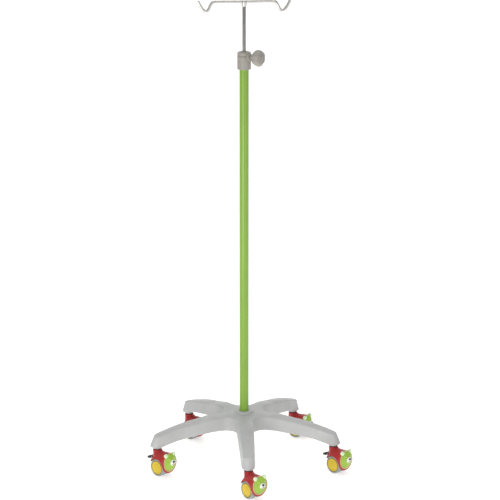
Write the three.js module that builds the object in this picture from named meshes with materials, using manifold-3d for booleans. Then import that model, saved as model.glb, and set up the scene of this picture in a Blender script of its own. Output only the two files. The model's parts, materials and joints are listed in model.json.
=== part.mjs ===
// Infusion stand for a children's ward. A five-armed base rolls on twin-wheel castors that carry a
// bear's face, and holds a round column. An inner rod with a two-hook bar telescopes out of the
// column and is held by a clamp collar with a hand knob. Units are millimetres, +Z is up the column.
import * as THREE from 'three';
import { mergeVertices } from 'three/addons/utils/BufferGeometryUtils.js';
import Module from 'manifold-3d';

const wasm = await Module();
wasm.setup();

// ---------------------------------------------------------------- driving dimensions
// Heights are above the floor and radii are from the column's axis, unless a note says otherwise.
const FIT = 0.3; // clearance between two pieces that touch
const THROUGH = 1; // how far a cutting tool runs past the face it cuts
const CAP_UNDERSIDE = 81; // height of the hub cap's flat face, where the model has its origin

const COLUMN = { radius: 12.5, wall: 1.5, foot: 102, top: 1135 };
const ROD = { radius: 4.5, foot: 316 };
const HOOKS = { height: 1299, radius: 4, turn: 3 }; // turn, in degrees, of the bar from the X axis
const COLLAR = { radius: 18.5, foot: 1117, top: 1164, seatRadius: 9.3 };
const KNOB = { height: 1150.5, direction: 54, radius: 22.5, lobes: 6, lobeDepth: 2.2, capRadius: 8.7 };
// Clamp screw. Its ends and its pressure pad's are at these distances from the column's axis.
const SCREW = { radius: 3.9, padRadius: 3.7, padTip: 4.9, padEnd: 10.7, tip: 11, end: 47 };

const ARMS = 5;
const CASTOR_CIRCLE = 257; // radius of the circle through the castors' swivel axes
const HUB = { top: 153, skirt: 106, radius: 60, sleeveRadius: 19, sleeveFoot: 84 };
const RECESS = { depth: 6, rim: 4.5, start: 20, end: 226 }; // in the underside of each arm
const HUB_CAP = { radius: 17.5, lipRadius: 12.7, discTop: 83.7, lipTop: 85.8 };
const BASE_BOLT = { radius: 4, headRadius: 7, foot: 86.5, top: 128 };
const WASHER = { radius: 11, foot: 93.7, top: 95.7, counterbore: 13 };

// Castor. Local X is the way it faces and the swivel axis is local Z.
const WHEEL = { radius: 25, trail: 19.3, inner: 4.7, outer: 22.5, bore: 4 };
const STEM = { radius: 5, foot: 48, top: 92, flangeRadius: 11, flangeFoot: 70.8, seat: 73 };
const HOOD = { well: 26.5, web: 4.2, collarRadius: 12, top: 70.5, deck: 68.5, halfWidth: 22.3 };
const FLANGE = { radius: 28.7, height: 40.5, front: 48.8, thickness: 3 };
const FACE = { radius: 25.3, height: 44, depth: 10 };
const EAR = { radius: 6, out: 15.8, up: 18.8, ahead: 2 }; // places are from the middle of the face's back
const PEDAL = { hinge: -15, height: 44, pin: 1.6, reach: 37.5, width: 22, cheek: 3.2 };

// Where each castor stands, in steps round the base from the front arm, and the way it faces, in
// degrees from the front (-Y) towards the right (+X). Two castors have a brake pedal.
const CASTORS = [
  { name: 'front', facing: 35, brake: false },
  { name: 'front_right', facing: 41, brake: true },
  { name: 'back_right', facing: 57, brake: false },
  { name: 'back_left', facing: 44, brake: false },
  { name: 'front_left', facing: 44, brake: true },
];

// Half of the base arm's outline, as cross-sections from the hub to the rounded tip. Each has its
// distance from the column, its top and underside heights, and its half width at both.
const ARM_SECTIONS = [
  { at: 20, top: 148, under: 106, topHalf: 21, underHalf: 24 },
  { at: 100, top: 145, under: 106, topHalf: 19.5, underHalf: 23 },
  { at: 150, top: 136.5, under: 101, topHalf: 18, underHalf: 21.5 },
  { at: 205, top: 125, under: 92.5, topHalf: 16, underHalf: 19.5 },
  { at: 240, top: 116, under: 80, topHalf: 14.8, underHalf: 18 },
  { at: 257, top: 111, under: 73, topHalf: 14, underHalf: 17.5 },
  { at: 267, top: 107, under: 73, topHalf: 11.5, underHalf: 14.5 },
  { at: 273, top: 98, under: 75, topHalf: 8, underHalf: 11 },
  { at: 275.5, top: 90, under: 78, topHalf: 5.5, underHalf: 8 },
];

// ---------------------------------------------------------------- materials
const finish = (color, roughness, metalness = 0) => ({ color, roughness, metalness });
const FINISHES = {
  basePlastic: finish(0xb6b8b8, 0.45),
  greenPaint: finish(0x9ebf60, 0.35),
  warmGrey: finish(0xafaaa5, 0.5),
  steel: finish(0xb8b6b0, 0.3, 1),
  redPlastic: finish(0xaa282d, 0.4),
  faceGreen: finish(0x96c346, 0.4),
  capYellow: finish(0xe1be32, 0.4),
  wheelGrey: finish(0xa09b9e, 0.7),
  blackPlastic: finish(0x1c1c1e, 0.5),
  nylon: finish(0xe6e2d6, 0.6),
};

// ---------------------------------------------------------------- geometry helpers
const degrees = THREE.MathUtils.degToRad;

// Turned piece about Z. The profile is a list of [radius, height], with the outside going up.
function turned(profile, sides = 24) {
  const points = profile.map(([radius, height]) => new THREE.Vector2(radius, height));
  return new THREE.LatheGeometry(points, sides).rotateX(Math.PI / 2);
}

// Closed ring about Z, with a rectangular section.
function ring(inner, outer, low, high, sides = 24) {
  const section = [[inner, low], [outer, low], [outer, high], [inner, high], [inner, low]];
  return turned(section, sides);
}

// Solid round bar about Z.
function bar(radius, low, high, sides = 24) {
  return turned([[0, low], [radius, low], [radius, high], [0, high]], sides);
}

// Turns a geometry made about Z so that its axis lies along X.
const alongX = (geometry) => geometry.rotateY(Math.PI / 2);

// Turns a geometry made about Z so that its axis lies along Y.
const alongY = (geometry) => geometry.rotateX(-Math.PI / 2);

// Flat outline in the XZ plane, pushed out along Y between two distances.
function slab(shape, low, high, curveSegments = 9) {
  const options = { depth: high - low, bevelEnabled: false, curveSegments };
  return new THREE.ExtrudeGeometry(shape, options).rotateX(Math.PI / 2).translate(0, high, 0);
}

function outline(points) {
  return new THREE.Shape(points.map(([x, y]) => new THREE.Vector2(x, y)));
}

// Closed skin over a row of rings with equal numbers of points. Each ring runs anticlockwise
// when seen from the row's far end.
function loft(rings) {
  const count = rings[0].length;
  const index = [];
  for (let ringAt = 0; ringAt + 1 < rings.length; ringAt++) {
    for (let i = 0; i < count; i++) {
      const a = ringAt * count + i;
      const b = ringAt * count + ((i + 1) % count);
      index.push(a, b, a + count, b, b + count, a + count);
    }
  }
  const last = (rings.length - 1) * count;
  for (let i = 1; i + 1 < count; i++) {
    index.push(0, i + 1, i, last, last + i, last + i + 1);
  }
  const geometry = new THREE.BufferGeometry();
  geometry.setAttribute('position', new THREE.Float32BufferAttribute(rings.flat(2), 3));
  return geometry.setIndex(index);
}

// Boolean joins and cuts.
function toSolid(geometry) {
  const bare = geometry.clone();
  bare.deleteAttribute('normal');
  bare.deleteAttribute('uv');
  const merged = mergeVertices(bare, 1e-4);
  const vertProperties = new Float32Array(merged.attributes.position.array);
  const triVerts = new Uint32Array(merged.index.array);
  return new wasm.Manifold(new wasm.Mesh({ numProp: 3, vertProperties, triVerts }));
}

function toGeometry(solid) {
  const { vertProperties, triVerts } = solid.getMesh();
  const geometry = new THREE.BufferGeometry();
  geometry.setAttribute('position', new THREE.BufferAttribute(vertProperties, 3));
  geometry.setIndex(new THREE.BufferAttribute(triVerts, 1));
  return geometry;
}

const join = (geometries) => geometries.map(toSolid).reduce((whole, next) => whole.add(next));
const cut = (solid, tools) => tools.map(toSolid).reduce((rest, tool) => rest.subtract(tool), solid);

// ---------------------------------------------------------------- scene helpers
function addPiece(group, name, geometry, look) {
  const { color, roughness, metalness } = FINISHES[look];
  const material = new THREE.MeshStandardMaterial({ color, roughness, metalness });
  const mesh = new THREE.Mesh(geometry, material);
  mesh.name = name;
  group.add(mesh);
}

// Angle about Z of a direction given in degrees from the front towards the right.
const heading = (fromFront) => degrees(fromFront - 90);

// ---------------------------------------------------------------- base
// Cross-section of an arm that lies along +X, with chamfered upper edges and a crowned top.
function armRing({ at, top, under, topHalf, underHalf }) {
  const chamfer = 3;
  const crown = 0.8;
  const shoulder = top - crown;
  return [
    [at, underHalf, under],
    [at, topHalf, shoulder - chamfer],
    [at, topHalf - chamfer, shoulder],
    [at, 0, top],
    [at, chamfer - topHalf, shoulder],
    [at, -topHalf, shoulder - chamfer],
    [at, -underHalf, under],
  ];
}

// Shallow recess that follows an arm's underside from the hub to the thick tip.
function armRecess() {
  const { depth, rim, start, end } = RECESS;
  const keys = Object.keys(ARM_SECTIONS[0]);
  const after = ARM_SECTIONS.findIndex(({ at }) => at > end);
  const [low, high] = [ARM_SECTIONS[after - 1], ARM_SECTIONS[after]];
  const share = (end - low.at) / (high.at - low.at);
  const last = keys.map((key) => [key, THREE.MathUtils.lerp(low[key], high[key], share)]);
  const inside = ARM_SECTIONS.filter(({ at }) => at >= start && at < end);
  const rings = [...inside, Object.fromEntries(last)].map(({ at, under, underHalf }) => [
    [at, underHalf - rim, under - THROUGH],
    [at, underHalf - rim - 1, under + depth],
    [at, rim + 1 - underHalf, under + depth],
    [at, rim - underHalf, under - THROUGH],
  ]);
  return loft(rings);
}

function baseStar() {
  const hubDome = turned([
    [0, HUB.skirt], [HUB.radius + 2, HUB.skirt], [HUB.radius, 139.5], [HUB.radius - 4, 145],
    [27.5, 149.4], [27.5, HUB.top], [0, HUB.top],
  ], 30);
  const { depth, rim } = RECESS;
  const hubRecess = bar(HUB.radius - rim, HUB.skirt - THROUGH, HUB.skirt + depth, 30);
  const sleeve = bar(HUB.sleeveRadius, HUB.sleeveFoot, HUB.top - 2);
  const round = [...Array(ARMS).keys()].map((step) => heading((step * 360) / ARMS));
  const arms = round.map((turn) => loft(ARM_SECTIONS.map(armRing)).rotateZ(turn));
  const recesses = round.map((turn) => armRecess().rotateZ(turn));
  const stemSockets = round.map((turn) => {
    const socket = bar(STEM.radius + FIT, STEM.seat - THROUGH, STEM.top + FIT, 12);
    return socket.translate(CASTOR_CIRCLE, 0, 0).rotateZ(turn);
  });
  const shell = cut(join([hubDome, ...arms]), [hubRecess, ...recesses]);
  return toGeometry(cut(shell.add(toSolid(sleeve)), [
    bar(COLUMN.radius + FIT, COLUMN.foot - FIT, HUB.top + THROUGH),
    bar(BASE_BOLT.radius + FIT, HUB.sleeveFoot, COLUMN.foot, 16),
    bar(WASHER.counterbore, HUB.sleeveFoot - THROUGH, WASHER.top + FIT, 20),
    ...stemSockets,
  ]));
}

function addBase(stand) {
  addPiece(stand, 'base_star', baseStar(), 'basePlastic');
  const { radius, lipRadius, discTop, lipTop } = HUB_CAP;
  const lipInside = lipRadius - 2.7;
  const hubCap = turned([
    [0, CAP_UNDERSIDE], [radius, CAP_UNDERSIDE], [radius, discTop], [lipRadius, discTop],
    [lipRadius, lipTop], [lipInside, lipTop], [lipInside, discTop], [0, discTop],
  ], 16);
  addPiece(stand, 'hub_cap', hubCap, 'basePlastic');
  const bolt = join([
    bar(BASE_BOLT.headRadius, BASE_BOLT.foot, WASHER.foot - FIT, 6),
    bar(BASE_BOLT.radius, WASHER.foot - 2 * FIT, BASE_BOLT.top, 16),
  ]);
  addPiece(stand, 'base_bolt', toGeometry(bolt), 'steel');
  const washer = ring(BASE_BOLT.radius + FIT, WASHER.radius, WASHER.foot, WASHER.top);
  addPiece(stand, 'base_washer', washer, 'steel');
}

// ---------------------------------------------------------------- column
function addColumn(stand) {
  const inside = COLUMN.radius - COLUMN.wall;
  const tube = ring(inside, COLUMN.radius, COLUMN.foot, COLUMN.top);
  addPiece(stand, 'column_tube', tube, 'greenPaint');
  const plug = ring(BASE_BOLT.radius + FIT, inside - FIT, COLUMN.foot, COLUMN.foot + 32);
  addPiece(stand, 'column_plug', plug, 'steel');
}

// Turns a geometry made about Z to the clamp screw's axis, where Z becomes the way the screw points.
function alongScrew(geometry) {
  return alongX(geometry).translate(0, 0, KNOB.height).rotateZ(heading(KNOB.direction));
}

// Clamp collar, with the tube's socket below, the guide bush's seat above, a boss for the screw
// on the knob's side and a slit that lets the wall close on the tube.
function clampCollar() {
  const { radius, foot, top, seatRadius } = COLLAR;
  const socket = COLUMN.radius + FIT;
  const body = turned([
    [socket, foot], [radius - 0.7, foot], [radius, foot + 1.2], [radius, top - 11],
    [radius + 0.4, top - 8.5], [radius - 1, top - 4.5], [radius - 3.6, top - 1.4],
    [radius - 7.5, top], [seatRadius, top], [seatRadius, COLUMN.top + FIT],
    [socket, COLUMN.top + FIT], [socket, foot],
  ]);
  const slit = new THREE.BoxGeometry(8, 2, 28);
  slit.translate(radius - 1, 0, foot + 13).rotateZ(heading(KNOB.direction + 75));
  const boss = alongScrew(bar(9, 14, 21.1));
  const screwHole = alongScrew(bar(SCREW.radius + FIT, 0, 22, 16));
  const bushSeat = bar(seatRadius, COLUMN.top + FIT, top + THROUGH);
  return toGeometry(cut(join([body, boss]), [screwHole, slit, bushSeat]));
}

function addClamp(stand) {
  addPiece(stand, 'clamp_collar', clampCollar(), 'warmGrey');
  const bush = ring(ROD.radius + FIT, COLLAR.seatRadius - FIT, COLLAR.top - 6.7, COLLAR.top + 1.5);
  addPiece(stand, 'guide_bush', bush, 'nylon');
  const pad = bar(SCREW.padRadius, SCREW.padTip, SCREW.padEnd, 16);
  addPiece(stand, 'pressure_pad', alongScrew(pad), 'nylon');
  addPiece(stand, 'clamp_screw', alongScrew(bar(SCREW.radius, SCREW.tip, SCREW.end, 16)), 'steel');
  addPiece(stand, 'clamp_knob', alongScrew(knob()), 'warmGrey');
  const cap = turned([[0, 52.9], [KNOB.capRadius, 52.9], [KNOB.capRadius, 56.2], [0, 57.6]]);
  addPiece(stand, 'knob_cap', alongScrew(cap), 'warmGrey');
}

// Hand knob about Z: a cone that widens from a neck to a lobed head with a domed front. It has a
// blind bore for the screw and a seat for the cap.
function knob() {
  const { radius, lobes, lobeDepth, capRadius } = KNOB;
  const steps = lobes * 6;
  const rim = [...Array(steps).keys()].map((step) => {
    const angle = (step / steps) * 2 * Math.PI;
    const reach = radius - (lobeDepth / 2) * (1 + Math.cos(lobes * angle));
    return [reach * Math.cos(angle), reach * Math.sin(angle)];
  });
  const options = { depth: 26, bevelEnabled: false };
  const head = new THREE.ExtrudeGeometry(outline(rim), options).translate(0, 0, 32);
  const envelope = turned([
    [0, 32.5], [18.5, 32.5], [radius, 37], [radius, 47], [20.5, 51.5], [15, 55], [0, 57],
  ]);
  const neck = turned([[0, 21.4], [7.4, 21.4], [7.4, 23.4], [18.3, 32.7], [0, 35]]);
  const whole = toSolid(head).intersect(toSolid(envelope)).add(toSolid(neck));
  const screwBore = bar(SCREW.radius + FIT, 21, SCREW.end + FIT, 16);
  return toGeometry(cut(whole, [screwBore, bar(capRadius + FIT, 52.6, 59)]));
}

// ---------------------------------------------------------------- telescopic rod and hooks
function hookBar() {
  // One side, from the rod outwards: the straight bar, the seat for the bag's loop and the tip.
  const side = [
    [40, 0], [76, 0], [84.5, -3], [90.5, -11.5], [94.5, -20], [98.8, -23.8], [104, -23.8],
    [110, -20.5], [116, -13], [123.3, 1.5],
  ];
  const left = side.map(([x, z]) => [-x, z]).reverse();
  const points = [...left, [0, 0], ...side].map(([x, z]) => new THREE.Vector3(x, 0, z));
  const path = new THREE.CatmullRomCurve3(points, false, 'centripetal');
  const section = new THREE.Shape();
  section.absarc(0, 0, HOOKS.radius, 0, 2 * Math.PI);
  const options = { steps: 46, curveSegments: 4, extrudePath: path, bevelEnabled: false };
  const wire = new THREE.ExtrudeGeometry(section, options).translate(0, 0, HOOKS.height);
  const underBar = HOOKS.height - HOOKS.radius;
  const socket = turned([[0, underBar - 10], [7, underBar - 10], [7.4, underBar + 3], [0, underBar + 3]]);
  const whole = cut(join([wire, socket]), [bar(ROD.radius + FIT, underBar - 11, underBar)]);
  return toGeometry(whole).rotateZ(degrees(HOOKS.turn));
}

function addRod(stand) {
  const underBar = HOOKS.height - HOOKS.radius;
  addPiece(stand, 'inner_rod', bar(ROD.radius, ROD.foot, underBar - FIT), 'steel');
  const bush = turned([
    [0, ROD.foot - 4], [10.7, ROD.foot - 4], [10.7, ROD.foot + 18], [ROD.radius + FIT, ROD.foot + 18],
    [ROD.radius + FIT, ROD.foot - FIT], [0, ROD.foot - FIT],
  ]);
  addPiece(stand, 'rod_end_bush', bush, 'nylon');
  addPiece(stand, 'hook_bar', hookBar(), 'steel');
}

// ---------------------------------------------------------------- castors
// Arch across the hood in the YZ plane, pushed along X between two distances.
function archBlock(halfWidth, foot, shoulder, crown, from, to) {
  const arch = new THREE.Shape();
  arch.moveTo(-foot, halfWidth);
  arch.lineTo(-foot, -halfWidth);
  arch.lineTo(-shoulder, -halfWidth);
  arch.absellipse(-shoulder, 0, crown - shoulder, halfWidth, -Math.PI / 2, -1.5 * Math.PI, true, 0);
  const options = { depth: to - from, bevelEnabled: false, curveSegments: 6 };
  return new THREE.ExtrudeGeometry(arch, options).rotateY(Math.PI / 2).translate(from, 0, 0);
}

// Hood: one moulding with the swivel collar, a saddle that widens from it over the wheels' backs, an
// arched barrel from there to the round flange behind the face, and a web between the wheels.
function castorHood(hasBrake) {
  const { trail, radius: axleHeight } = WHEEL;
  const { halfWidth, deck, web } = HOOD;
  const flangeAt = FLANGE.front - FLANGE.thickness;
  const webOutline = outline([
    [trail - 7, 13], [trail + 7, 13], [flangeAt, 32], [flangeAt, 50], [-8, 50], [-8, 36],
  ]);
  const saddle = loft([
    [[-8, -halfWidth, 37], [12, -halfWidth, 37], [12, halfWidth, 37], [-8, halfWidth, 37]],
    [[-10, -halfWidth, 46], [12, -halfWidth, 46], [12, halfWidth, 46], [-10, halfWidth, 46]],
    [[-11, -8, 60], [10, -8, 60], [10, 8, 60], [-11, 8, 60]],
  ]);
  const parts = [
    slab(webOutline, -web, web),
    saddle,
    archBlock(halfWidth + 1.2, 36, 45, deck, 8, flangeAt + 0.5),
    bar(HOOD.collarRadius, 44, HOOD.top, 16),
    alongX(bar(FLANGE.radius, flangeAt, FLANGE.front, 24)).translate(0, 0, FLANGE.height),
  ];
  if (hasBrake) {
    const lug = [[PEDAL.hinge - 4, 40], [-6, 36], [-6, 50], [PEDAL.hinge - 4, 48]];
    parts.push(slab(outline(lug), -web, web));
  }
  const well = (side) => {
    const [near, far] = side < 0 ? [-40, -web] : [web, 40];
    return alongY(bar(HOOD.well, near, far, 20)).translate(trail, 0, axleHeight);
  };
  const tools = [
    well(-1),
    well(1),
    alongY(bar(WHEEL.bore + FIT, -20, 20, 16)).translate(trail, 0, axleHeight),
    bar(STEM.radius + FIT, STEM.foot - FIT, HOOD.top + THROUGH, 12),
  ];
  if (hasBrake) {
    tools.push(alongY(bar(PEDAL.pin + FIT, -10, 10, 12)).translate(PEDAL.hinge, 0, PEDAL.height));
  }
  return toGeometry(cut(join(parts), tools));
}

// Bear's face: a shallow dome with two ball ears, flat at the back, and a raised muzzle.
function bearFace() {
  const back = FLANGE.front + FIT;
  const front = back + FACE.depth;
  const dome = turned([
    [0, back], [FACE.radius, back], [FACE.radius - 0.6, back + 3], [20, back + 7], [11, front - 0.8],
    [0, front],
  ], 20);
  const ear = (side) => {
    const ball = new THREE.SphereGeometry(EAR.radius, 10, 6).rotateX(Math.PI / 2);
    return ball.translate(-EAR.up, side * EAR.out, back + EAR.ahead);
  };
  const muzzle = new THREE.SphereGeometry(8.6, 8, 6).scale(0.9, 1, 0.85).translate(-1, 0, front - 0.8);
  const behind = new THREE.BoxGeometry(90, 90, 20).translate(0, 0, back - 10);
  const whole = toGeometry(cut(join([dome, ear(-1), ear(1), muzzle]), [behind]));
  return alongX(whole).translate(0, 0, FACE.height);
}

// Wheel about Y, with a tread of flats so that it stands on one of them.
function wheel() {
  const sides = 20;
  const tread = WHEEL.radius / Math.cos(Math.PI / sides);
  const { inner, outer } = WHEEL;
  const bore = WHEEL.bore + FIT;
  const profile = [
    [bore, inner], [tread, inner], [tread, outer], [19.9, outer], [19.9, 20], [bore, 20], [bore, inner],
  ];
  return alongY(turned(profile, sides)).rotateY(Math.PI / sides);
}

function brakePedal() {
  const { width, cheek, pin, reach, hinge } = PEDAL;
  const tip = -reach - hinge;
  const tread = outline([[-5, 3.4], [-5, 0], [tip, -6], [tip, -2.5]]);
  const arm = outline([[3.5, -3.5], [3.5, 3.5], [-4, 4.3], [-9, 2.6], [-9, -1.2], [-3, -3.5]]);
  const gap = HOOD.web + FIT;
  const parts = [
    slab(tread, -width / 2, width / 2),
    slab(arm, gap, gap + cheek),
    slab(arm, -gap - cheek, -gap),
  ];
  return toGeometry(cut(join(parts), [alongY(bar(pin + FIT, -12, 12, 12))]));
}

function addCastor(stand, { name, facing, brake }, step) {
  const arm = heading((step * 360) / ARMS);
  const castor = new THREE.Group();
  castor.position.set(CASTOR_CIRCLE * Math.cos(arm), CASTOR_CIRCLE * Math.sin(arm), 0);
  castor.rotation.z = heading(facing);
  stand.add(castor);
  const add = (piece, geometry, look) => addPiece(castor, `castor_${name}_${piece}`, geometry, look);

  const flangeTop = STEM.seat - FIT;
  const stem = turned([
    [0, STEM.foot], [STEM.radius, STEM.foot], [STEM.radius, STEM.flangeFoot],
    [STEM.flangeRadius, STEM.flangeFoot], [STEM.flangeRadius, flangeTop], [STEM.radius, flangeTop],
    [STEM.radius, STEM.top], [0, STEM.top],
  ], 12);
  add('stem', stem, 'steel');
  add('hood', castorHood(brake), 'redPlastic');
  add('bear_face', bearFace(), 'faceGreen');

  const running = new THREE.Group();
  running.position.set(WHEEL.trail, 0, WHEEL.radius);
  castor.add(running);
  const addRunning = (piece, geometry, look) => {
    addPiece(running, `castor_${name}_${piece}`, geometry, look);
  };
  addRunning('axle', alongY(bar(WHEEL.bore, -19.5, 19.5, 16)), 'steel');
  for (const [side, turn] of [['left', 0], ['right', Math.PI]]) {
    const hubCap = turned([[0, 20.3], [19.5, 20.3], [19.5, 22], [0, 23]], 20);
    addRunning(`wheel_${side}`, wheel().rotateZ(turn), 'wheelGrey');
    addRunning(`hub_cap_${side}`, alongY(hubCap).rotateZ(turn), 'capYellow');
  }

  if (brake) {
    const lever = new THREE.Group();
    lever.position.set(PEDAL.hinge, 0, PEDAL.height);
    castor.add(lever);
    const pinEnd = HOOD.web + FIT + PEDAL.cheek + 0.5;
    addPiece(lever, `castor_${name}_brake_pedal`, brakePedal(), 'blackPlastic');
    addPiece(lever, `castor_${name}_brake_pin`, alongY(bar(PEDAL.pin, -pinEnd, pinEnd, 12)), 'steel');
  }
}

// ---------------------------------------------------------------- whole stand
const stand = new THREE.Group();
stand.position.z = -CAP_UNDERSIDE;
addBase(stand);
addColumn(stand);
addClamp(stand);
addRod(stand);
CASTORS.forEach((castor, step) => addCastor(stand, castor, step));

const model = new THREE.Group();
model.add(stand);
export default model;
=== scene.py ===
"""Infusion stand with bear-faced castors: the looks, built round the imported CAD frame.

Pieces are modelled in millimetres, either about the column's axis with Z above the floor, or in a
castor's own frame: origin on the floor under the swivel axis, X the way the castor faces, Z up.
Round pieces are turned from rounded profiles. Mouldings are skins over distance fields, which
gives them the soft blends of moulded plastic.
"""
import json
import math

import bmesh
import bpy
import numpy as np
import openvdb
from mathutils import Matrix, Vector


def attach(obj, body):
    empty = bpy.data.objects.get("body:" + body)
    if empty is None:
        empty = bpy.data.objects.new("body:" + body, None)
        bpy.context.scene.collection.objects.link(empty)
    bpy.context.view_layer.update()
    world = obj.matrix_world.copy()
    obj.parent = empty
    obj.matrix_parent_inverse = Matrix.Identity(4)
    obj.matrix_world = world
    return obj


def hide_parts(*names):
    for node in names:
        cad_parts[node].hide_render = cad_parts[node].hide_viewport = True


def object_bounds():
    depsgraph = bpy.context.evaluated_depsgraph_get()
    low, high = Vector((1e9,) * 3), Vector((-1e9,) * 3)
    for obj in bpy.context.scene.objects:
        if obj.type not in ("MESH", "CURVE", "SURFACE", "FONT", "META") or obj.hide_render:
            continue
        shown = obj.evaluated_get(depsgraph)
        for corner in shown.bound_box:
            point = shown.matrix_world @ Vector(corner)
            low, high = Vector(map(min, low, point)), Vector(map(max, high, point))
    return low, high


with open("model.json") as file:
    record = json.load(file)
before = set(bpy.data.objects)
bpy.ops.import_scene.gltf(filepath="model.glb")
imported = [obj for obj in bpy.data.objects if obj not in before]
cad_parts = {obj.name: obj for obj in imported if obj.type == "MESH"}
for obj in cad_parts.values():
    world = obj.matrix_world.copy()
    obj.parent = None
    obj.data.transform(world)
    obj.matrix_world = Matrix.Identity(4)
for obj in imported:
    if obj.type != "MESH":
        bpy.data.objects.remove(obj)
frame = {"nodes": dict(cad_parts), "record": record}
cad_low, cad_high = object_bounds()

MM = 0.001
FLOOR = cad_low[2]
JOINTS = {joint["name"]: joint for joint in frame["record"]["behaviour"]["joints"]}
CASTORS = ("front", "front_right", "back_right", "back_left", "front_left")
ARMS = len(CASTORS)
DETAIL = 1.0

# ---------------------------------------------------------------- places, from the frame
COLUMN = Matrix.Translation((0, 0, FLOOR)) @ Matrix.Scale(MM, 4)


def castor_place(name):
    """Matrix from a castor's own frame, in millimetres, to the row frame."""
    swivel = Vector(JOINTS[f"castor_{name}_swivel"]["pos_m"])
    axle = Vector(JOINTS[f"castor_{name}_left_roll"]["pos_m"])
    facing = axle - swivel
    turn = Matrix.Rotation(math.atan2(facing.y, facing.x), 4, "Z")
    return Matrix.Translation((swivel.x, swivel.y, FLOOR)) @ turn @ Matrix.Scale(MM, 4)


# ---------------------------------------------------------------- mesh makers
def rounded(profile, radius=0.6, steps=4):
    """An open profile with each of its inner corners turned into an arc, as on a moulded edge."""
    points = [Vector(p) for p in profile]
    out = [points[0]]
    for before, corner, after in zip(points, points[1:], points[2:]):
        back, ahead = before - corner, after - corner
        reach = min(radius, back.length * 0.45, ahead.length * 0.45)
        start, end = corner + back.normalized() * reach, corner + ahead.normalized() * reach
        if back.angle(ahead) > math.radians(172):
            out.append(corner)
            continue
        for step in range(steps + 1):
            t = step / steps
            out.append(start * (1 - t) ** 2 + corner * 2 * t * (1 - t) + end * t**2)
    return [*out, points[-1]]


def turned(profile, segments=96, wave=None):
    """(points, faces) of a piece turned about Z from [radius, height] points.

    The profile runs with its outside going up. It ends on the axis, or is closed into a ring when
    its last point is its first. wave(angle, radius, height) gives a radius that varies round it.
    """
    profile = [tuple(p) for p in profile]
    closed = profile[0] == profile[-1]
    rows = profile[:-1] if closed else profile
    points, index = [], []
    for radius, height in rows:
        if radius < 1e-6:
            index.append([len(points)] * segments)
            points.append((0.0, 0.0, height))
            continue
        index.append(range(len(points), len(points) + segments))
        for k in range(segments):
            angle = 2 * math.pi * k / segments
            reach = wave(angle, radius, height) if wave else radius
            points.append((reach * math.cos(angle), reach * math.sin(angle), height))
    faces = []
    rounds = list(zip(index, index[1:] + ([index[0]] if closed else [])))
    for low, high in rounds if closed else rounds[: len(rows) - 1]:
        for k in range(segments):
            n = (k + 1) % segments
            corners = dict.fromkeys((low[k], low[n], high[n], high[k]))
            if len(corners) > 2:
                faces.append(tuple(corners))
    return points, faces


def skinned(shape, low, high, voxel):
    """(points, faces) of the surface where shape(x, y, z) is zero, negative inside."""
    voxel *= DETAIL
    axes = [np.arange(a - 2 * voxel, b + 3 * voxel, voxel) for a, b in zip(low, high)]
    x, y, z = np.meshgrid(*axes, indexing="ij", sparse=True)
    values = np.broadcast_to(shape(x, y, z), [len(a) for a in axes])
    grid = openvdb.FloatGrid(4 * voxel)
    grid.copyFromArray(np.ascontiguousarray(values, dtype=np.float32))
    points, quads = grid.convertToQuads(isovalue=0.0)
    start = np.array([a[0] for a in axes])
    return (points * voxel + start).tolist(), quads.tolist()


def piece(name, shape, place, material, body, replaces=None, sharp=35):
    """A named mesh from (points, faces), placed in the row frame and riding on a body."""
    points, faces = shape
    mesh = bpy.data.meshes.new(name)
    mesh.from_pydata(points, [], faces)
    mesh.transform(place)
    merge_doubles(mesh)
    mesh.materials.append(material)
    mesh.polygons.foreach_set("use_smooth", [True] * len(mesh.polygons))
    mesh.set_sharp_from_angle(angle=math.radians(sharp))
    face_outwards(mesh)
    obj = bpy.data.objects.new(name, mesh)
    bpy.context.collection.objects.link(obj)
    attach(obj, body)
    if replaces:
        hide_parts(replaces)
    return obj


def merge_doubles(mesh):
    """Joins points that coincide, such as a ring drawn in to nothing."""
    edit = bmesh.new()
    edit.from_mesh(mesh)
    bmesh.ops.remove_doubles(edit, verts=edit.verts, dist=1e-7)
    edit.to_mesh(mesh)
    edit.free()


def face_outwards(mesh):
    """Flips a closed mesh whose faces point inwards, seen from its signed volume."""
    mesh.calc_loop_triangles()
    corners = np.empty(len(mesh.loop_triangles) * 3, dtype=np.int32)
    mesh.loop_triangles.foreach_get("vertices", corners)
    points = np.empty(len(mesh.vertices) * 3)
    mesh.vertices.foreach_get("co", points)
    a, b, c = (points.reshape(-1, 3)[corners.reshape(-1, 3)[:, k]] for k in range(3))
    volume = np.einsum("ij,ij->i", a, np.cross(b, c)).sum()
    if volume < 0:
        mesh.flip_normals()


# ---------------------------------------------------------------- distance fields
# A field is negative inside its shape. A blend is the width, in millimetres, over which two shapes
# run into each other, as a fillet or a rounded edge does.
def joined(a, b, blend=0.0):
    """Both shapes together."""
    if not blend:
        return np.minimum(a, b)
    mix = np.clip(0.5 + 0.5 * (b - a) / blend, 0, 1)
    return b + (a - b) * mix - blend * mix * (1 - mix)


def within(a, b, blend=0.0):
    """What the two shapes share."""
    return -joined(-a, -b, blend)


def without(a, b, blend=0.0):
    """The first shape with the second cut away."""
    return within(a, -b, blend)


def length(*parts):
    return np.sqrt(sum(p**2 for p in parts))


def slab(value, low, high):
    """The layer where a coordinate is between two values."""
    return np.maximum(low - value, value - high)


def egg(x, y, z, centre, radii):
    """Ellipsoid. Its distance is only good near the surface, which is where it counts."""
    scaled = [(value - c) / r for value, c, r in zip((x, y, z), centre, radii)]
    k = length(*scaled)
    gradient = length(*[s / r for s, r in zip(scaled, radii)])
    return k * (k - 1) / np.maximum(gradient, 1e-6)


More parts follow.
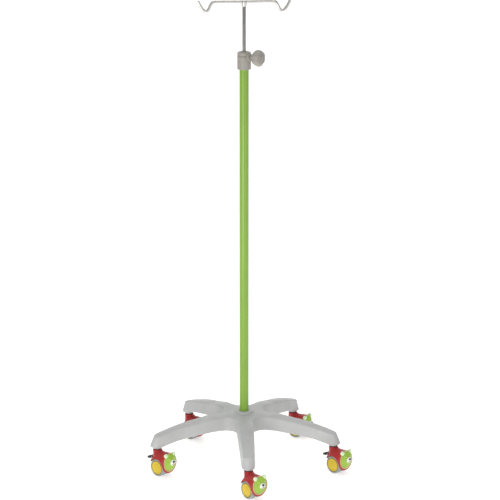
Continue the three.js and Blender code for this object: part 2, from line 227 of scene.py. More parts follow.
def eased(stations, values, spread=7.0):
    """A smooth curve through a few stations, as a function of distance."""
    fine = np.arange(min(stations) - 60, max(stations) + 60, 1.0)
    plain = np.interp(fine, stations, values)
    weights = np.exp(-0.5 * (np.arange(-30, 31) / spread) ** 2)
    smooth = np.convolve(np.pad(plain, 30, mode="edge"), weights / weights.sum(), "valid")
    return lambda distance: np.interp(distance, fine, smooth)


# ---------------------------------------------------------------- materials
class Nodes:
    """A node tree being wired up, with a short way to add a node and set or link its inputs."""

    def __init__(self, name):
        self.material = bpy.data.materials.new(name)
        self.material.use_nodes = True
        self.tree = self.material.node_tree
        self.shader = self.tree.nodes["Principled BSDF"]
        self.place = self.add("ShaderNodeTexCoord").outputs["Object"]

    def add(self, kind, **inputs):
        node = self.tree.nodes.new(kind)
        for key, value in inputs.items():
            self.set(node, key.replace("_", " "), value)
        return node

    def set(self, node, key, value):
        if isinstance(value, bpy.types.NodeSocket):
            self.tree.links.new(value, node.inputs[key])
        else:
            node.inputs[key].default_value = value

    def noise(self, scale, detail=3.0, stretch=(1, 1, 1)):
        spread = self.add("ShaderNodeMapping", Vector=self.place, Scale=stretch)
        noise = self.add("ShaderNodeTexNoise", Vector=spread.outputs[0], Scale=scale, Detail=detail)
        return noise.outputs["Fac"]

    def spread(self, value, low, high):
        """Maps a noise value, which keeps near its middle, onto a range."""
        inputs = {"Value": value, "From Min": 0.3, "From Max": 0.7, "To Min": low, "To Max": high}
        node = self.add("ShaderNodeMapRange")
        for key, item in inputs.items():
            self.set(node, key, item)
        return node.outputs[0]

    def colours(self, value, stops):
        ramp = self.add("ShaderNodeValToRGB", Fac=value)
        elements = ramp.color_ramp.elements
        while len(elements) < len(stops):
            elements.new(0.5)
        for element, (at, colour) in zip(elements, stops):
            element.position, element.color = at, linear(colour)
        return ramp.outputs[0]

    def bump(self, height, distance):
        node = self.add("ShaderNodeBump", Height=height, Distance=distance, Strength=1.0)
        self.set(self.shader, "Normal", node.outputs[0])


def linear(colour):
    """Scene-linear RGBA of an sRGB colour given as 0 to 255."""
    parts = [c / 255 for c in colour]
    return [c / 12.92 if c <= 0.04045 else ((c + 0.055) / 1.055) ** 2.4 for c in parts] + [1.0]


def shade(colour, share):
    """The colour made darker or lighter by a share."""
    return [min(255, c * share) for c in colour]


def moulded(name, colour, roughness=0.42, grain=0.00003, grain_scale=1400, soft=0.0):
    """Moulded plastic: a fine spark-eroded grain, a slow cloud in the colour and uneven gloss."""
    nodes = Nodes(name)
    cloud = nodes.noise(14, 2)
    colours = [(0.32, shade(colour, 0.965)), (0.68, shade(colour, 1.025))]
    nodes.set(nodes.shader, "Base Color", nodes.colours(cloud, colours))
    gloss = nodes.spread(nodes.noise(60, 4), roughness - 0.05, roughness + 0.06)
    nodes.set(nodes.shader, "Roughness", gloss)
    nodes.bump(nodes.noise(grain_scale, 2), grain)
    if soft:
        nodes.set(nodes.shader, "Subsurface Weight", soft)
        nodes.set(nodes.shader, "Subsurface Radius", (0.004, 0.004, 0.003))  # metres
        nodes.set(nodes.shader, "Subsurface Scale", 1.0)
    return nodes.material


def metal(name, colour, roughness, along=(1, 1, 0.02), scale=900, grain=0.000004):
    """Drawn steel with fine lines along its length."""
    nodes = Nodes(name)
    lines = nodes.noise(scale, 2, along)
    nodes.set(nodes.shader, "Metallic", 1.0)
    colours = [(0.3, shade(colour, 0.92)), (0.7, shade(colour, 1.04))]
    nodes.set(nodes.shader, "Base Color", nodes.colours(lines, colours))
    nodes.set(nodes.shader, "Roughness", nodes.spread(lines, roughness - 0.05, roughness + 0.07))
    nodes.bump(lines, grain)
    return nodes.material


def powder_coat(name, colour, roughness=0.3):
    """Powder coat: the slow ripple of an orange peel over a fine sparkle in the gloss."""
    nodes = Nodes(name)
    peel = nodes.noise(420, 2)
    colours = [(0.3, shade(colour, 0.975)), (0.7, shade(colour, 1.02))]
    nodes.set(nodes.shader, "Base Color", nodes.colours(nodes.noise(7, 2), colours))
    gloss = nodes.spread(nodes.noise(1500, 1), roughness - 0.03, roughness + 0.05)
    nodes.set(nodes.shader, "Roughness", gloss)
    nodes.set(nodes.shader, "Coat Weight", 0.25)
    nodes.set(nodes.shader, "Coat Roughness", 0.18)
    nodes.bump(peel, 0.00004)
    return nodes.material


def tyre(name, colour):
    """Grey tread compound: matt, with scuffs that are paler and rougher."""
    nodes = Nodes(name)
    scuffs = nodes.noise(260, 6)
    colours = [(0.35, shade(colour, 0.9)), (0.65, shade(colour, 1.04))]
    nodes.set(nodes.shader, "Base Color", nodes.colours(scuffs, colours))
    nodes.set(nodes.shader, "Roughness", nodes.spread(scuffs, 0.62, 0.8))
    nodes.bump(nodes.noise(2200, 3), 0.00004)
    return nodes.material


GREY = moulded("moulded_light_grey", (186, 187, 186), 0.43)
WARM_GREY = moulded("moulded_warm_grey", (157, 153, 145), 0.46)
GREEN_PAINT = powder_coat("green_powder_coat", (131, 172, 52))
RED = moulded("moulded_red", (174, 38, 38), 0.36)
FACE_GREEN = moulded("moulded_face_green", (155, 190, 64), 0.36, soft=0.05)
EAR_WHITE = moulded("moulded_ear_white", (214, 236, 196), 0.34, soft=0.2)
MUZZLE_WHITE = moulded("moulded_muzzle_white", (240, 240, 232), 0.38, soft=0.1)
# The eyes are the face's green made paler: a painted highlight on the raised eyes.
EYE_HIGHLIGHT_GREEN = moulded("eye_green_painted_highlight", (206, 232, 120), 0.25)
# The tan ring round the face stands for the dome's side wall: painted shade with a painted
# reflection of the red flange.
RIM_SHADE_TAN = moulded("rim_painted_shade_and_red_reflection", (206, 184, 132), 0.45)
YELLOW = moulded("moulded_yellow", (210, 182, 26), 0.36)
BLACK = moulded("moulded_black", (26, 26, 28), 0.4, grain=0.00005)
NOSE_BLACK = moulded("nose_black", (8, 8, 9), 0.55, grain=0.00001)
NYLON = moulded("natural_nylon", (226, 221, 208), 0.5, soft=0.1)
TYRE = tyre("grey_tyre", (160, 164, 160))
HUB_GREY = moulded("wheel_core_grey", (96, 98, 84), 0.5)
ROD_STEEL = metal("drawn_steel_rod", (142, 141, 137), 0.26)
BAR_STEEL = metal("bent_steel_wire", (205, 203, 198), 0.3, (0.05, 1, 1))
ZINC_STEEL = metal("zinc_plated_steel", (190, 192, 194), 0.34, (1, 1, 1), 500)
# Dark steel for the castor stems, whose flange shows in the swivel gap: painted shade for that gap.
GAP_SHADE_STEEL = metal("steel_painted_gap_shade", (74, 70, 70), 0.42, (1, 1, 1), 500)


# ---------------------------------------------------------------- base
# A cross-section of an arm at a distance from the column: heights of its top and underside, and
# its half width at both.
ARM_AT = (20, 100, 150, 205, 240, 257, 267, 273, 276)
ARM_TOP = eased(ARM_AT, (148.5, 145.5, 137, 125.5, 116.5, 111.5, 108, 100, 92), 3)
ARM_UNDER = eased(ARM_AT, (106.5, 106.5, 101, 92.5, 82, 76, 76.5, 77, 79), 4)
ARM_TOP_HALF = eased(ARM_AT, (22, 20.8, 19.3, 17.4, 16.2, 15.2, 13.8, 12.5, 12), 5)
ARM_UNDER_HALF = eased(ARM_AT, (24.5, 23.8, 22.6, 20.8, 19.4, 18.8, 18.2, 17.2, 16.2), 5)
# Neighbouring arms meet in a round fillet about this point, along and across from an arm's middle.
FILLET_ALONG, FILLET_ACROSS = 74.0, 74.0 * math.tan(math.pi / ARMS)
TIP_FROM = 250  # where an arm's outline starts to close in to its tip
RIM_RADIUS, RIM_TOP = 27.5, 153
SLEEVE_RADIUS, SLEEVE_FOOT = 19, 84
TUBE_SEAT_RADIUS, TUBE_SEAT_FOOT = 12.9, 101.7
BOLT_HOLE_RADIUS, WASHER_POCKET_RADIUS, WASHER_POCKET_TOP = 4.3, 13, 96
RECESS_WALL, RECESS_DEPTH, RECESS_END = 4.5, 6, 226
CASTOR_CIRCLE, BOSS_RADIUS, BOSS_FOOT = 257, 12.1, 73
STEM_HOLE_RADIUS, STEM_HOLE_TOP = 5.3, 92.3


def base_star(x, y, z):
    around = np.arctan2(x, -y)
    step = 2 * math.pi / ARMS
    folded = around - step * np.round(around / step)
    reach = length(x, y)
    along, across = reach * np.cos(folded), np.abs(reach * np.sin(folded))

    # sloping sides that sweep from arm to arm round the hub
    top, under = ARM_TOP(along), ARM_UNDER(along)
    rise = np.clip((z - under) / (top - under), 0, 1.1)
    half = ARM_UNDER_HALF(along) + (ARM_TOP_HALF(along) - ARM_UNDER_HALF(along)) * rise
    sweep = FILLET_ACROSS - half - length(along - FILLET_ALONG, across - FILLET_ACROSS)
    side = np.where(along < FILLET_ALONG, sweep, across - half) * 0.99
    # a crowned top with a style line: it is raised inside an arch whose legs run down the shoulders
    crown = top - 1.6 * np.clip(across / half, 0, 1) ** 2
    arch = along - 127 - 36 * (across / 16) ** 2.2
    panel = 1.5 * np.clip(0.5 + arch / 2.0, 0, 1) * np.clip((250 - along) / 60, 0, 1)
    arm = within(side, z - crown - panel, 4.5)
    arm = within(arm, under - z, 2.4)
    # a full tip, an ellipse in plan, whose wall leans in towards the top
    tip_length, tip_width = 25.5 - 0.42 * (z - 84), 17.8 - 0.09 * (z - 96)
    beyond = np.maximum(along - TIP_FROM, 0)
    tip = (length(beyond / tip_length, across / tip_width) - 1) * 15
    arm = within(arm, np.where(along < TIP_FROM, -40.0, tip), 3.0)

    # the rim that stands round the tube's foot
    star = joined(arm, within(reach - RIM_RADIUS, slab(z, 110, RIM_TOP), 2.0), 2.4)

    # the shallow recess underneath, the sleeve for the tube and the boss under each tip
    hollow = within(side + RECESS_WALL, z - under - RECESS_DEPTH, 1.5)
    hollow = within(hollow, along - RECESS_END, 1.5)
    star = without(star, hollow, 0.8)
    star = joined(star, within(reach - SLEEVE_RADIUS, slab(z, SLEEVE_FOOT, 120), 1.4), 1.6)
    star = without(star, within(reach - TUBE_SEAT_RADIUS, TUBE_SEAT_FOOT - z), 0.5)
    star = without(star, within(reach - WASHER_POCKET_RADIUS, z - WASHER_POCKET_TOP), 0.5)
    star = without(star, reach - BOLT_HOLE_RADIUS)
    swivel = length(along - CASTOR_CIRCLE, across)
    star = joined(star, within(swivel - BOSS_RADIUS, slab(z, BOSS_FOOT, 90), 0.8), 2.2)
    return without(star, within(swivel - STEM_HOLE_RADIUS, z - STEM_HOLE_TOP), 0.4)


piece("base_moulding", skinned(base_star, (-286, -286, 70), (286, 286, 155), 1.25),
      COLUMN, GREY, "base", "base_star", 50)

hub_cap = [(0, 81), (16.9, 81), (17.5, 81.6), (17.5, 83.7), (12.7, 83.7), (12.7, 85.8), (10, 85.8),
           (10, 83.7), (0, 83.7)]
piece("hub_cap_turned", turned(rounded(hub_cap, 0.4)), COLUMN, GREY, "base", "hub_cap")


def hexagon(angle, radius, height):
    """Radius of a bolt's head, where the profile is wider than its shank."""
    if radius < 5:
        return radius
    half_side = math.pi / 6  # the angle that half a side spans
    from_flat = (angle + half_side) % (2 * half_side) - half_side
    return radius * math.cos(half_side) / math.cos(from_flat)


bolt = [(0, 86.5), (6.4, 86.5), (6.9, 87), (6.9, 93.4), (3.9, 93.4), (3.9, 127), (3, 128), (0, 128)]
piece("base_bolt_turned", turned(rounded(bolt, 0.3), 96, hexagon), COLUMN, ZINC_STEEL, "base",
      "base_bolt")
washer = [(4.4, 94.7), (4.4, 93.7), (10.9, 93.7), (10.9, 95.7), (4.4, 95.7), (4.4, 94.7)]
piece("base_washer_turned", turned(rounded(washer, 0.3)), COLUMN, ZINC_STEEL, "base", "base_washer")
plug = [(4.4, 118), (4.4, 102), (10.6, 102), (10.6, 134), (4.4, 134), (4.4, 118)]
piece("column_plug_turned", turned(rounded(plug, 0.5)), COLUMN, ZINC_STEEL, "base", "column_plug")

# ---------------------------------------------------------------- column and clamp
tube = [(11, 600), (11, 102), (12.5, 102), (12.5, 1135), (11, 1135), (11, 600)]
piece("column_tube_turned", turned(rounded(tube, 0.4), 128), COLUMN, GREEN_PAINT, "base",
      "column_tube")

# The knob's frame: origin on the column's axis, Z along the clamp screw.
screw_axis = Vector(JOINTS["knob_turn"]["axis"]).normalized()
KNOB = (Matrix.Translation(JOINTS["knob_turn"]["pos_m"])
        @ screw_axis.to_track_quat("Z", "Y").to_matrix().to_4x4() @ Matrix.Scale(MM, 4))
KNOB_HEIGHT = (JOINTS["knob_turn"]["pos_m"][2] - FLOOR) / MM
KNOB_WAY = math.atan2(screw_axis.y, screw_axis.x)


COLLAR_RADIUS, COLLAR_FOOT, COLLAR_TOP = 18.4, 1117, 1164
SEAM_FOOT, SEAM_TOP = 1154.4, 1155.5
NOTCHES, NOTCH_HALF_WIDTH, NOTCH_FOOT = 24, 0.9, 1150.2
SCREW_BOSS_RADIUS, SCREW_BOSS_END, SCREW_HOLE_RADIUS = 9, 21, 4.3
SLIT_WAY, SLIT_TOP = KNOB_WAY + math.radians(29), 1139
BUSH_SEAT_RADIUS, BUSH_SEAT_FOOT = 9.3, 1134


def clamp_collar(x, y, z):
    reach, around = length(x, y), np.arctan2(y, x)
    body = within(reach - COLLAR_RADIUS, slab(z, COLLAR_FOOT, COLLAR_TOP), 4.2)
    body = joined(body, within(reach - COLLAR_RADIUS - 0.05, slab(z, COLLAR_FOOT, 1130), 1.0))
    # the seam of the screwed cap, with a row of notches under it
    share = np.abs(((around * NOTCHES / (2 * math.pi)) % 1) - 0.5)
    notch = share * 2 * math.pi * COLLAR_RADIUS / NOTCHES - NOTCH_HALF_WIDTH
    body = without(body, within(17.1 - reach, slab(z, SEAM_FOOT, SEAM_TOP)), 0.3)
    notched = within(16.9 - reach, slab(z, NOTCH_FOOT, SEAM_FOOT + 0.4))
    body = without(body, within(notched, notch), 0.4)
    # the boss for the screw, and the slit with its two clamping lips
    forward = x * math.cos(KNOB_WAY) + y * math.sin(KNOB_WAY)
    sideways = length(y * math.cos(KNOB_WAY) - x * math.sin(KNOB_WAY), z - KNOB_HEIGHT)
    body = joined(body, within(sideways - SCREW_BOSS_RADIUS, slab(forward, 0, SCREW_BOSS_END)), 2.5)
    ahead = x * math.cos(SLIT_WAY) + y * math.sin(SLIT_WAY)
    aside = np.abs(y * math.cos(SLIT_WAY) - x * math.sin(SLIT_WAY))
    slit = within(within(10 - ahead, slab(z, COLLAR_FOOT - 7, SLIT_TOP)), aside - 1.2)
    body = without(body, slit, 0.4)
    relief = within(within(16.6 - ahead, slab(z, COLLAR_FOOT - 7, SLIT_TOP + 1)), aside - 3.0)
    body = without(body, relief, 0.8)
    # bores for the tube, the guide bush and the screw
    body = without(body, within(reach - 12.8, z - 1135.3), 0.6)
    body = without(body, within(reach - BUSH_SEAT_RADIUS, BUSH_SEAT_FOOT - z), 0.6)
    return without(body, within(sideways - SCREW_HOLE_RADIUS, -forward), 0.3)


piece("clamp_collar_moulding", skinned(clamp_collar, (-24, -24, 1116), (24, 24, 1168), 0.55),
      COLUMN, WARM_GREY, "base", "clamp_collar", 45)
bush = [(4.8, 1161), (4.8, 1157.4), (9, 1157.4), (9, 1165.5), (4.8, 1165.5), (4.8, 1161)]
piece("guide_bush_turned", turned(rounded(bush, 0.7)), COLUMN, WARM_GREY, "base", "guide_bush")


def lobed(angle, radius, height):
    """Shallow lobes, deepest on the knob's shoulder, that fade towards its neck and middle."""
    if height <= 30:
        return radius
    depth = 2.0 * max(0.0, 1 - abs(radius - 21) / 11)
    return radius - depth * (0.5 + 0.5 * math.cos(6 * angle)) ** 1.5


knob = [(4.4, 40), (4.4, 21.5), (7.4, 21.5), (7.3, 23.8), (10.5, 27.2), (15.4, 32), (19.6, 36.4),
        (21.9, 40.5), (22.4, 45), (22.3, 49.5), (20.9, 53.4), (18.2, 55.7), (14, 57), (9.4, 57.4),
        (9, 57), (9, 52.8), (6, 52.8), (4.4, 50), (4.4, 40)]
piece("clamp_knob_moulding", turned(rounded(knob, 1.6), 144, lobed), KNOB, WARM_GREY, "knob",
      "clamp_knob")
cap = [(0, 53), (8.2, 53), (8.7, 53.6), (8.7, 57), (7.6, 57.9), (4, 58.3), (0, 58.4)]
piece("knob_cap_turned", turned(rounded(cap, 0.5)), KNOB, WARM_GREY, "knob", "knob_cap")
screw = [(0, 11), (3.2, 11), (3.9, 11.8), (3.9, 46.4), (3.2, 47), (0, 47)]
piece("clamp_screw_turned", turned(rounded(screw, 0.3)), KNOB, ZINC_STEEL, "knob", "clamp_screw")
pad = [(0, 4.9), (3.3, 4.9), (3.7, 5.4), (3.7, 10.7), (0, 10.7)]
piece("pressure_pad_turned", turned(rounded(pad, 0.3)), KNOB, NYLON, "pad", "pressure_pad")

# ---------------------------------------------------------------- rod and hooks
rod = [(0, 316), (4.1, 316), (4.5, 316.5), (4.5, 1294.7), (0, 1294.7)]
piece("inner_rod_turned", turned(rounded(rod, 0.2), 96), COLUMN, ROD_STEEL, "rod", "inner_rod")
end_bush = [(0, 312), (9.8, 312), (10.7, 313), (10.7, 333), (10, 334), (4.8, 334), (4.8, 315.7),
            (0, 315.7)]
piece("rod_end_bush_turned", turned(rounded(end_bush, 0.5)), COLUMN, NYLON, "rod_foot",
      "rod_end_bush")


def wire(path, radius, segments=24):
    """(points, faces) of a round wire along a path in the XZ plane, with softly cut ends."""
    path = np.array(path, dtype=float)
    ahead = np.gradient(path, axis=0)
    ahead /= np.linalg.norm(ahead, axis=1, keepdims=True)
    angles = np.linspace(0, 2 * math.pi, segments, endpoint=False)
    rings = []
    ends = [(0, 0), (0, 0.74), (0.25, 0.92), (0.9, 1)]  # way in from the end, share of the radius
    stations = [(path[0] + ahead[0] * way, ahead[0], share) for way, share in ends]
    stations += [(p, a, 1.0) for p, a in zip(path[1:-1], ahead[1:-1])]
    stations += [(path[-1] - ahead[-1] * way, ahead[-1], share) for way, share in reversed(ends)]
    for (px, pz), (ax, az), share in stations:
        r = radius * share
        rings.append([(px - az * r * math.cos(a), r * math.sin(a), pz + ax * r * math.cos(a))
                      for a in angles])
    points = [p for ring in rings for p in ring]
    faces = []
    for k in range(len(rings) - 1):
        for i in range(segments):
            j = (i + 1) % segments
            faces.append((k * segments + i, k * segments + j, (k + 1) * segments + j,
                          (k + 1) * segments + i))
    return points, faces


def smooth_path(points, rounds=3):
    """Corner cutting: a smooth curve that keeps to a few points and ends at the first and last."""
    points = [np.array(p, dtype=float) for p in points]
    for _ in range(rounds):
        cut = [points[0]]
        for a, b in zip(points, points[1:]):
            cut += [a * 0.75 + b * 0.25, a * 0.25 + b * 0.75]
        points = [*cut, points[-1]]
    return points


# One half of the hook bar's middle line: distance from the rod, height from the bar.
HOOK = [(0, 0), (40, 0), (75, 0), (84.5, -1.6), (90.3, -11), (94.4, -21), (98.8, -24.8),
        (104.6, -24.6), (110.6, -20.8), (116.4, -12.6), (123.3, 1.5)]
HOOK_HEIGHT, HOOK_TURN, WIRE_RADIUS = 1299, math.radians(3), 4
HOOK_BAR = (Matrix.Translation((0, 0, FLOOR + HOOK_HEIGHT * MM))
            @ Matrix.Rotation(HOOK_TURN, 4, "Z") @ Matrix.Scale(MM, 4))
hook_path = smooth_path([(-x, z) for x, z in reversed(HOOK)] + HOOK[1:])
piece("hook_bar_wire", wire(hook_path, WIRE_RADIUS), HOOK_BAR, BAR_STEEL, "rod", "hook_bar")
socket = [(4.8, -8), (4.8, -13.6), (5.8, -14), (6.5, -13), (6.9, -9), (7.3, -4.5), (7.4, -1.5),
          (6.4, 0.6), (4.8, 1), (4.8, -8)]
piece("hook_bar_socket", turned(rounded(socket, 0.8), 48), HOOK_BAR, BAR_STEEL, "rod")


# ---------------------------------------------------------------- castors
TRAIL, AXLE, WEB = 19.3, 25.0, 4.2  # the axle's place, and half the web's thickness
HOOD_TOP, COLLAR_REACH = 70.4, 11.9  # the hood's swivel collar
FENDER_RADIUS, FENDER_HALF_WIDTH, FENDER_BACK, FENDER_FOOT = 31.2, 23.2, -6.8, 37.5
WELL_RADIUS, AXLE_HOLE_RADIUS, STEM_SOCKET_FOOT = 26.5, 4.3, 47.7
PEDAL_HINGE, PEDAL_HEIGHT, PEDAL_TIP_FROM, PIN_HOLE_RADIUS = -15, 44, 12.5, 1.9
FLANGE_Z, FLANGE_BACK, FLANGE_FRONT, FLANGE_RADIUS = 40.5, 45.8, 48.8, 28.7
FACE_Z, FACE_BACK, FACE_DEPTH, FACE_RADIUS = 44.2, 49.1, 9.8, 25.4
MUZZLE = (61.6, 0, 45.6)
OVAL, FLANGE_OVAL = 0.87, 0.95  # widths as a share of heights


def hood(has_brake):
    def field(x, y, z):
        side = np.abs(y)
        collar = within(length(x, y) - COLLAR_REACH, slab(z, 44, HOOD_TOP), 0.8)
        # the barrel: a tube that swells from the collar to the flange
        swell = np.clip((x + 4) / 50, 0, 1)
        half, rise, middle = 21.9 + 5.2 * swell, 25.2 + 2.4 * swell, 41.4 - 0.6 * swell
        barrel = (length(side / half, (z - middle) / rise) - 1) * 22
        barrel = within(barrel, slab(x, 4, FLANGE_BACK + 1), 3.0)
        barrel = within(barrel, 36 - z, 1.0)
        # the fender over the wheels, which runs down behind them
        axle_reach = length(x - TRAIL, z - AXLE)
        fender = within(axle_reach - FENDER_RADIUS, side - FENDER_HALF_WIDTH, 5.5)
        fender = within(fender, FENDER_BACK - x, 5.0)
        fender = within(fender, FENDER_FOOT - z, 1.0)
        shape = joined(barrel, fender, 5.0)
        shape = joined(shape, collar, 9.0)
        shape = within(shape, z - HOOD_TOP, 0.4)
        disc = length(y / FLANGE_OVAL, z - FLANGE_Z) - FLANGE_RADIUS
        flange = within(disc, slab(x, FLANGE_BACK, FLANGE_FRONT), 1.4)
        shape = joined(shape, flange, 2.0)
        # the web between the wheels, which narrows towards the floor
        web = within(side - WEB, 12.9 - z)
        web = within(web, (12.3 - x) * 0.75 + (13 - z) * 0.66, 1.0)
        web = within(web, (x - 26.3) * 0.7 - (z - 13) * 0.72, 1.0)
        web = within(web, z - 52)
        web = within(web, slab(x, -8, 46))
        shape = joined(shape, web, 1.0)
        if has_brake:
            lug = within(slab(x, -19, -4), slab(z, 40, 48.2), 3.0)
            shape = joined(shape, within(lug, side - WEB), 1.5)
        wells = within(axle_reach - WELL_RADIUS, WEB - side, 0.8)
        shape = without(shape, wells, 0.7)
        shape = without(shape, axle_reach - AXLE_HOLE_RADIUS)
        socket = within(length(x, y) - STEM_HOLE_RADIUS, STEM_SOCKET_FOOT - z)
        shape = without(shape, socket, 0.5)
        shape = within(shape, side - 27.5)
        if has_brake:
            shape = without(shape, length(x - PEDAL_HINGE, z - PEDAL_HEIGHT) - PIN_HOLE_RADIUS)
        return shape

    return skinned(field, (-22, -30, 10), (50, 30, 73), 0.7)


def bear_face(x, y, z):
    reach = length(y / OVAL, z - FACE_Z)
    dome = (length((x - FACE_BACK) / FACE_DEPTH, reach / FACE_RADIUS) - 1) * 9.0
    face = within(dome, reach - 24.6, 2.0)
    face = within(face, FACE_BACK - x, 0.3)
    # soft brows over the eyes, and a snout with a seat for the white muzzle
    for way in (-1, 1):
        face = joined(face, egg(x, y, z, (55.8, way * 8.2, 56.8), (2.4, 4.4, 2.4)), 2.0)
    face = joined(face, egg(x, y, z, (55.6, 0, 45.6), (6.8, 10.4, 9.6)), 3.0)
    return without(face, egg(x, y, z, MUZZLE, (3.4, 8.9, 8.2)), 0.3)


def ear(way):
    def field(x, y, z):
        lobe = egg(x, y, z, (49.2, way * 14.4, 64.8), (5.7, 6.1, 6.1))
        dish = egg(x, y, z, (55.8, way * 14.2, 64.7), (2.0, 3.3, 3.3))
        return without(lobe, dish, 1.0)

    return skinned(field, (42, way * 14 - 8, 57), (57, way * 14 + 8, 73), 0.45)


def muzzle(x, y, z):
    patch = egg(x, y, z, MUZZLE, (3.3, 8.8, 8.1))
    # the line down from the nose and the smile on either side of it
    line = within(length(y, x - 64.8) - 0.7, slab(z, 42.0, 46.6))
    for way in (-1, 1):
        smile = length(length(y - way * 2.6, z - 43.0) - 2.8, x - 64.0) - 0.8
        line = joined(line, within(smile, z - 42.2))
    return without(within(patch, 59.6 - x), line, 0.3)


def smile(x, y, z):
    """A dark thread that lies in the muzzle's smile."""
    patch = egg(x, y, z, MUZZLE, (3.15, 8.65, 7.95))
    line = within(np.abs(y) - 0.6, slab(z, 41.4, 46.6))
    for way in (-1, 1):
        curve = np.abs(length(y - way * 2.6, z - 43.0) - 2.8) - 0.6
        line = joined(line, within(curve, z - 42.3))
    return within(within(within(patch, line), 61.8 - x), -0.7 - patch)


def nose(x, y, z):
    return egg(x, y, z, (65.0, 0, 48.8), (2.3, 3.8, 3.0))


def eye(way):
    centre = (57.2, way * 8.0, 54.2)
    return skinned(lambda x, y, z: egg(x, y, z, centre, (1.4, 1.7, 2.0)),
                   (55, centre[1] - 3, 51), (60, centre[1] + 3, 57), 0.25)


# Profiles of the castor's turned pieces. The wheels' heights are distances out from the web.
TYRE_RING = [(20.0, 12), (20.0, 5.3), (20.8, 4.7), (23.4, 4.7), (24.6, 6.4), (25, 9.5),
             (25, 17.5), (24.4, 20.4), (23.0, 21.9), (21.2, 22.5), (20.0, 21.8), (20.0, 12)]
WHEEL_CORE = [(4.4, 12), (4.4, 4.7), (19.8, 4.7), (19.8, 19.9), (4.4, 19.9), (4.4, 12)]
RIM_RING = [(24.0, 1.0), (24.0, 0.1), (26.9, 0.1), (26.9, 2.2), (24.0, 2.2), (24.0, 1.0)]
HUB_CAP = [(0, 20.2), (18.2, 20.2), (18.6, 20.8), (18.4, 21.9), (17.8, 22.6), (16.6, 22.7),
           (16.0, 22.0), (13.5, 21.6), (11, 21.8), (9.4, 22.5), (7, 22.8), (0, 22.9)]
AXLE_BAR = [(0, -19.5), (3.9, -19.5), (3.9, 19.5), (0, 19.5)]
PIN_BAR = [(0, -8.2), (1.6, -8.2), (1.6, 8.2), (0, 8.2)]
STEM = [(0, 48), (4.4, 48), (5, 48.8), (5, 70.8), (10.6, 70.8), (11, 71.2), (11, 72.3),
        (10.6, 72.7), (5, 72.7), (5, 91), (4, 92), (0, 92)]


def brake_pedal(x, y, z):
    side, along = np.abs(y), PEDAL_HINGE - x
    ahead = np.maximum(along, 0)
    # a wedge that tapers and droops to a rounded tip, with grip ribs across its top
    top, under = 48.7 - 0.36 * ahead, 40.4 - 0.15 * ahead
    half = 10.9 - 0.15 * ahead
    ribs = 0.35 * np.clip(np.cos(2 * math.pi * along / 3.2), 0, 1) * (side < half - 2)
    paddle = within(side - half, np.maximum(z - top - ribs, under - z), 1.6)
    tip = length(np.maximum(along - PEDAL_TIP_FROM, 0) * 0.92, side) - 8.4
    paddle = within(paddle, np.where(along > PEDAL_TIP_FROM, tip, -20.0), 1.4)
    paddle = within(paddle, 5.2 - along, 0.8)
    hollow = within(side - half + 1.8, z - top + 2.4, 0.5)
    hollow = within(hollow, within(6.8 - along, along - 17))
    paddle = without(paddle, hollow, 0.6)
    cheek = within(slab(side, 4.5, 7.6), length(along, z - PEDAL_HEIGHT) - 3.9, 0.5)
    bridge = within(slab(side, 4.5, 7.6), slab(along, 0, 9), 0.5)
    bridge = within(bridge, slab(z, 41.2, 47.2), 1.5)
    pedal = joined(joined(paddle, cheek, 0.8), bridge, 1.0)
    return without(pedal, length(along, z - PEDAL_HEIGHT) - PIN_HOLE_RADIUS, 0.2)


FACES = {
    "face": (skinned(bear_face, (48, -27, 18), (64, 27, 71), 0.6), FACE_GREEN),
    "ear_left": (ear(1), EAR_WHITE),
    "ear_right": (ear(-1), EAR_WHITE),
    "muzzle": (skinned(muzzle, (58, -10, 36), (66, 10, 55), 0.35), MUZZLE_WHITE),
    "smile": (skinned(smile, (61, -6, 40), (66, 6, 49), 0.22), NOSE_BLACK),
    "nose": (skinned(nose, (61, -5, 45), (68, 5, 53), 0.25), NOSE_BLACK),
    # eyes: the face green made paler by a painted highlight
    "eye_left": (eye(1), EYE_HIGHLIGHT_GREEN),
    "eye_right": (eye(-1), EYE_HIGHLIGHT_GREEN),
}
SHAPES = {
    "hood": hood(False), "braked_hood": hood(True),
    "tyre": turned(rounded(TYRE_RING, 0.8)),
    "core": turned(rounded(WHEEL_CORE, 0.4)),
    "cap": turned(rounded(HUB_CAP, 0.5)),
    "stem": turned(rounded(STEM, 0.3), 64),
    "pedal": skinned(brake_pedal, (-42, -13, 34), (-8, 13, 50), 0.5),
    "axle": turned(rounded(AXLE_BAR, 0.5), 48),
    "pin": turned(rounded(PIN_BAR, 0.4), 32),
    "rim": turned(rounded(RIM_RING, 0.5)),
}
LEFT_WHEEL = Matrix.Translation((TRAIL, 0, AXLE)) @ Matrix.Rotation(-math.pi / 2, 4, "X")
RIGHT_WHEEL = Matrix.Translation((TRAIL, 0, AXLE)) @ Matrix.Rotation(math.pi / 2, 4, "X")
PIN = Matrix.Translation((PEDAL_HINGE, 0, PEDAL_HEIGHT)) @ Matrix.Rotation(math.pi / 2, 4, "X")
RIM = (Matrix.Translation((FLANGE_FRONT - 0.2, 0, FACE_Z - 0.7)) @ Matrix.Diagonal((1, OVAL, 1, 1))
       @ Matrix.Rotation(math.pi / 2, 4, "Y"))

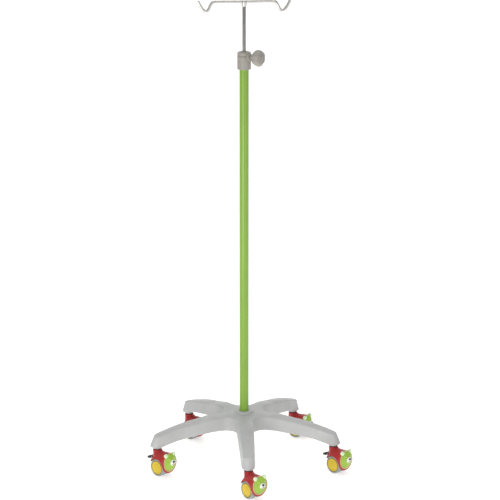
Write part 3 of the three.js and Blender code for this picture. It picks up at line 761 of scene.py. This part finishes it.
for castor in CASTORS:
    name, place = f"castor_{castor}", castor_place(castor)
    braked = f"{name}_brake_pedal" in frame["nodes"]
    piece(f"{name}_hood_moulding", SHAPES["braked_hood" if braked else "hood"], place, RED, name,
          f"{name}_hood", 45)
    for part, (shape, material) in FACES.items():
        piece(f"{name}_bear_{part}", shape, place, material, name,
              f"{name}_bear_face" if part == "face" else None, 50)
    # the ring round the face carries painted shade and a painted reflection of the red flange
    piece(f"{name}_face_rim", SHAPES["rim"], place @ RIM, RIM_SHADE_TAN, name)
    # the stem's flange, dark with painted shade, fills the swivel gap
    piece(f"{name}_stem_turned", SHAPES["stem"], place, GAP_SHADE_STEEL, "base", f"{name}_stem")
    piece(f"{name}_axle_turned", SHAPES["axle"], place @ LEFT_WHEEL, ZINC_STEEL, name,
          f"{name}_axle")
    for side, spin in (("left", LEFT_WHEEL), ("right", RIGHT_WHEEL)):
        body = f"{name}_{side}_wheel"
        piece(f"{body}_tyre", SHAPES["tyre"], place @ spin, TYRE, body, f"{name}_wheel_{side}")
        piece(f"{body}_core", SHAPES["core"], place @ spin, HUB_GREY, body)
        piece(f"{body}_cap", SHAPES["cap"], place @ spin, YELLOW, body,
              f"{name}_hub_cap_{side}")
    if braked:
        piece(f"{name}_pedal_moulding", SHAPES["pedal"], place, BLACK, f"{name}_brake",
              f"{name}_brake_pedal", 45)
        piece(f"{name}_pin_turned", SHAPES["pin"], place @ PIN, ZINC_STEEL, name,
              f"{name}_brake_pin")

# ---------------------------------------------------------------- studio
# White paper that runs under the stand and up behind it: distance back and height, in metres.
PAPER_RUN = [(-8, 0), (5, 0), (6, 0.14), (6.8, 0.7), (7.1, 1.6), (7.2, 9)]
PAPER_HALF_WIDTH, PAPER_GLOW, WORLD_STRENGTH = 9, 0.5, 0.43
floor_mesh = bpy.data.meshes.new("studio_floor")
corners = [(x, y, FLOOR + z) for y, z in PAPER_RUN for x in (-PAPER_HALF_WIDTH, PAPER_HALF_WIDTH)]
strips = [(k, k + 1, k + 3, k + 2) for k in range(0, len(corners) - 2, 2)]
floor_mesh.from_pydata(corners, [], strips)
floor_mesh.polygons.foreach_set("use_smooth", [True] * len(floor_mesh.polygons))
paper = Nodes("studio_paper")
paper.set(paper.shader, "Base Color",
          paper.colours(paper.noise(3, 2), [(0.3, (245, 245, 245)), (0.7, (248, 248, 248))]))
paper.set(paper.shader, "Roughness", 0.9)
paper.set(paper.shader, "Emission Color", (1, 1, 1, 1))
paper.set(paper.shader, "Emission Strength", PAPER_GLOW)
floor_mesh.materials.append(paper.material)
floor = bpy.data.objects.new("studio_floor", floor_mesh)
bpy.context.collection.objects.link(floor)

scene = bpy.context.scene
scene.view_settings.view_transform = "Standard"
world = bpy.data.worlds.new("studio_world")
world.use_nodes = True
world.node_tree.nodes["Background"].inputs["Color"].default_value = (1, 1, 1, 1)
world.node_tree.nodes["Background"].inputs["Strength"].default_value = WORLD_STRENGTH
scene.world = world


def area_light(name, place, aim, size, power):
    """A soft lamp of a size in metres and a power in watts, aimed at a point."""
    lamp = bpy.data.lights.new(name, "AREA")
    lamp.shape, lamp.size, lamp.size_y, lamp.energy = "RECTANGLE", *size, power
    obj = bpy.data.objects.new(name, lamp)
    obj.location = place
    obj.rotation_euler = (Vector(aim) - Vector(place)).to_track_quat("-Z", "Y").to_euler()
    bpy.context.collection.objects.link(obj)


area_light("key_light", (-1.1, -2.1, 0.4), (0, 0, 0.25), (0.9, 1.1), 18.5)
area_light("fill_light", (2.2, -2.6, 1.0), (0, 0, 0.4), (1.2, 1.8), 10)
area_light("top_light", (0.0, 0.4, 3.2), (0, 0, 0), (1.6, 1.6), 23)

CAMERA_PLACE, CAMERA_TURN = (-0.2356, -5.2077, 2.0 + FLOOR), (75.13, 0, -2.59)  # metres, degrees
camera_data = bpy.data.cameras.new("camera")
camera_data.sensor_width, camera_data.lens = 36, 141.55
camera_data.shift_x = 0.0118
camera_data.clip_end = 60
camera = bpy.data.objects.new("camera", camera_data)
camera.location = CAMERA_PLACE
camera.rotation_euler = [math.radians(turn) for turn in CAMERA_TURN]
bpy.context.collection.objects.link(camera)
scene.camera = camera

bpy.context.view_layer.update()
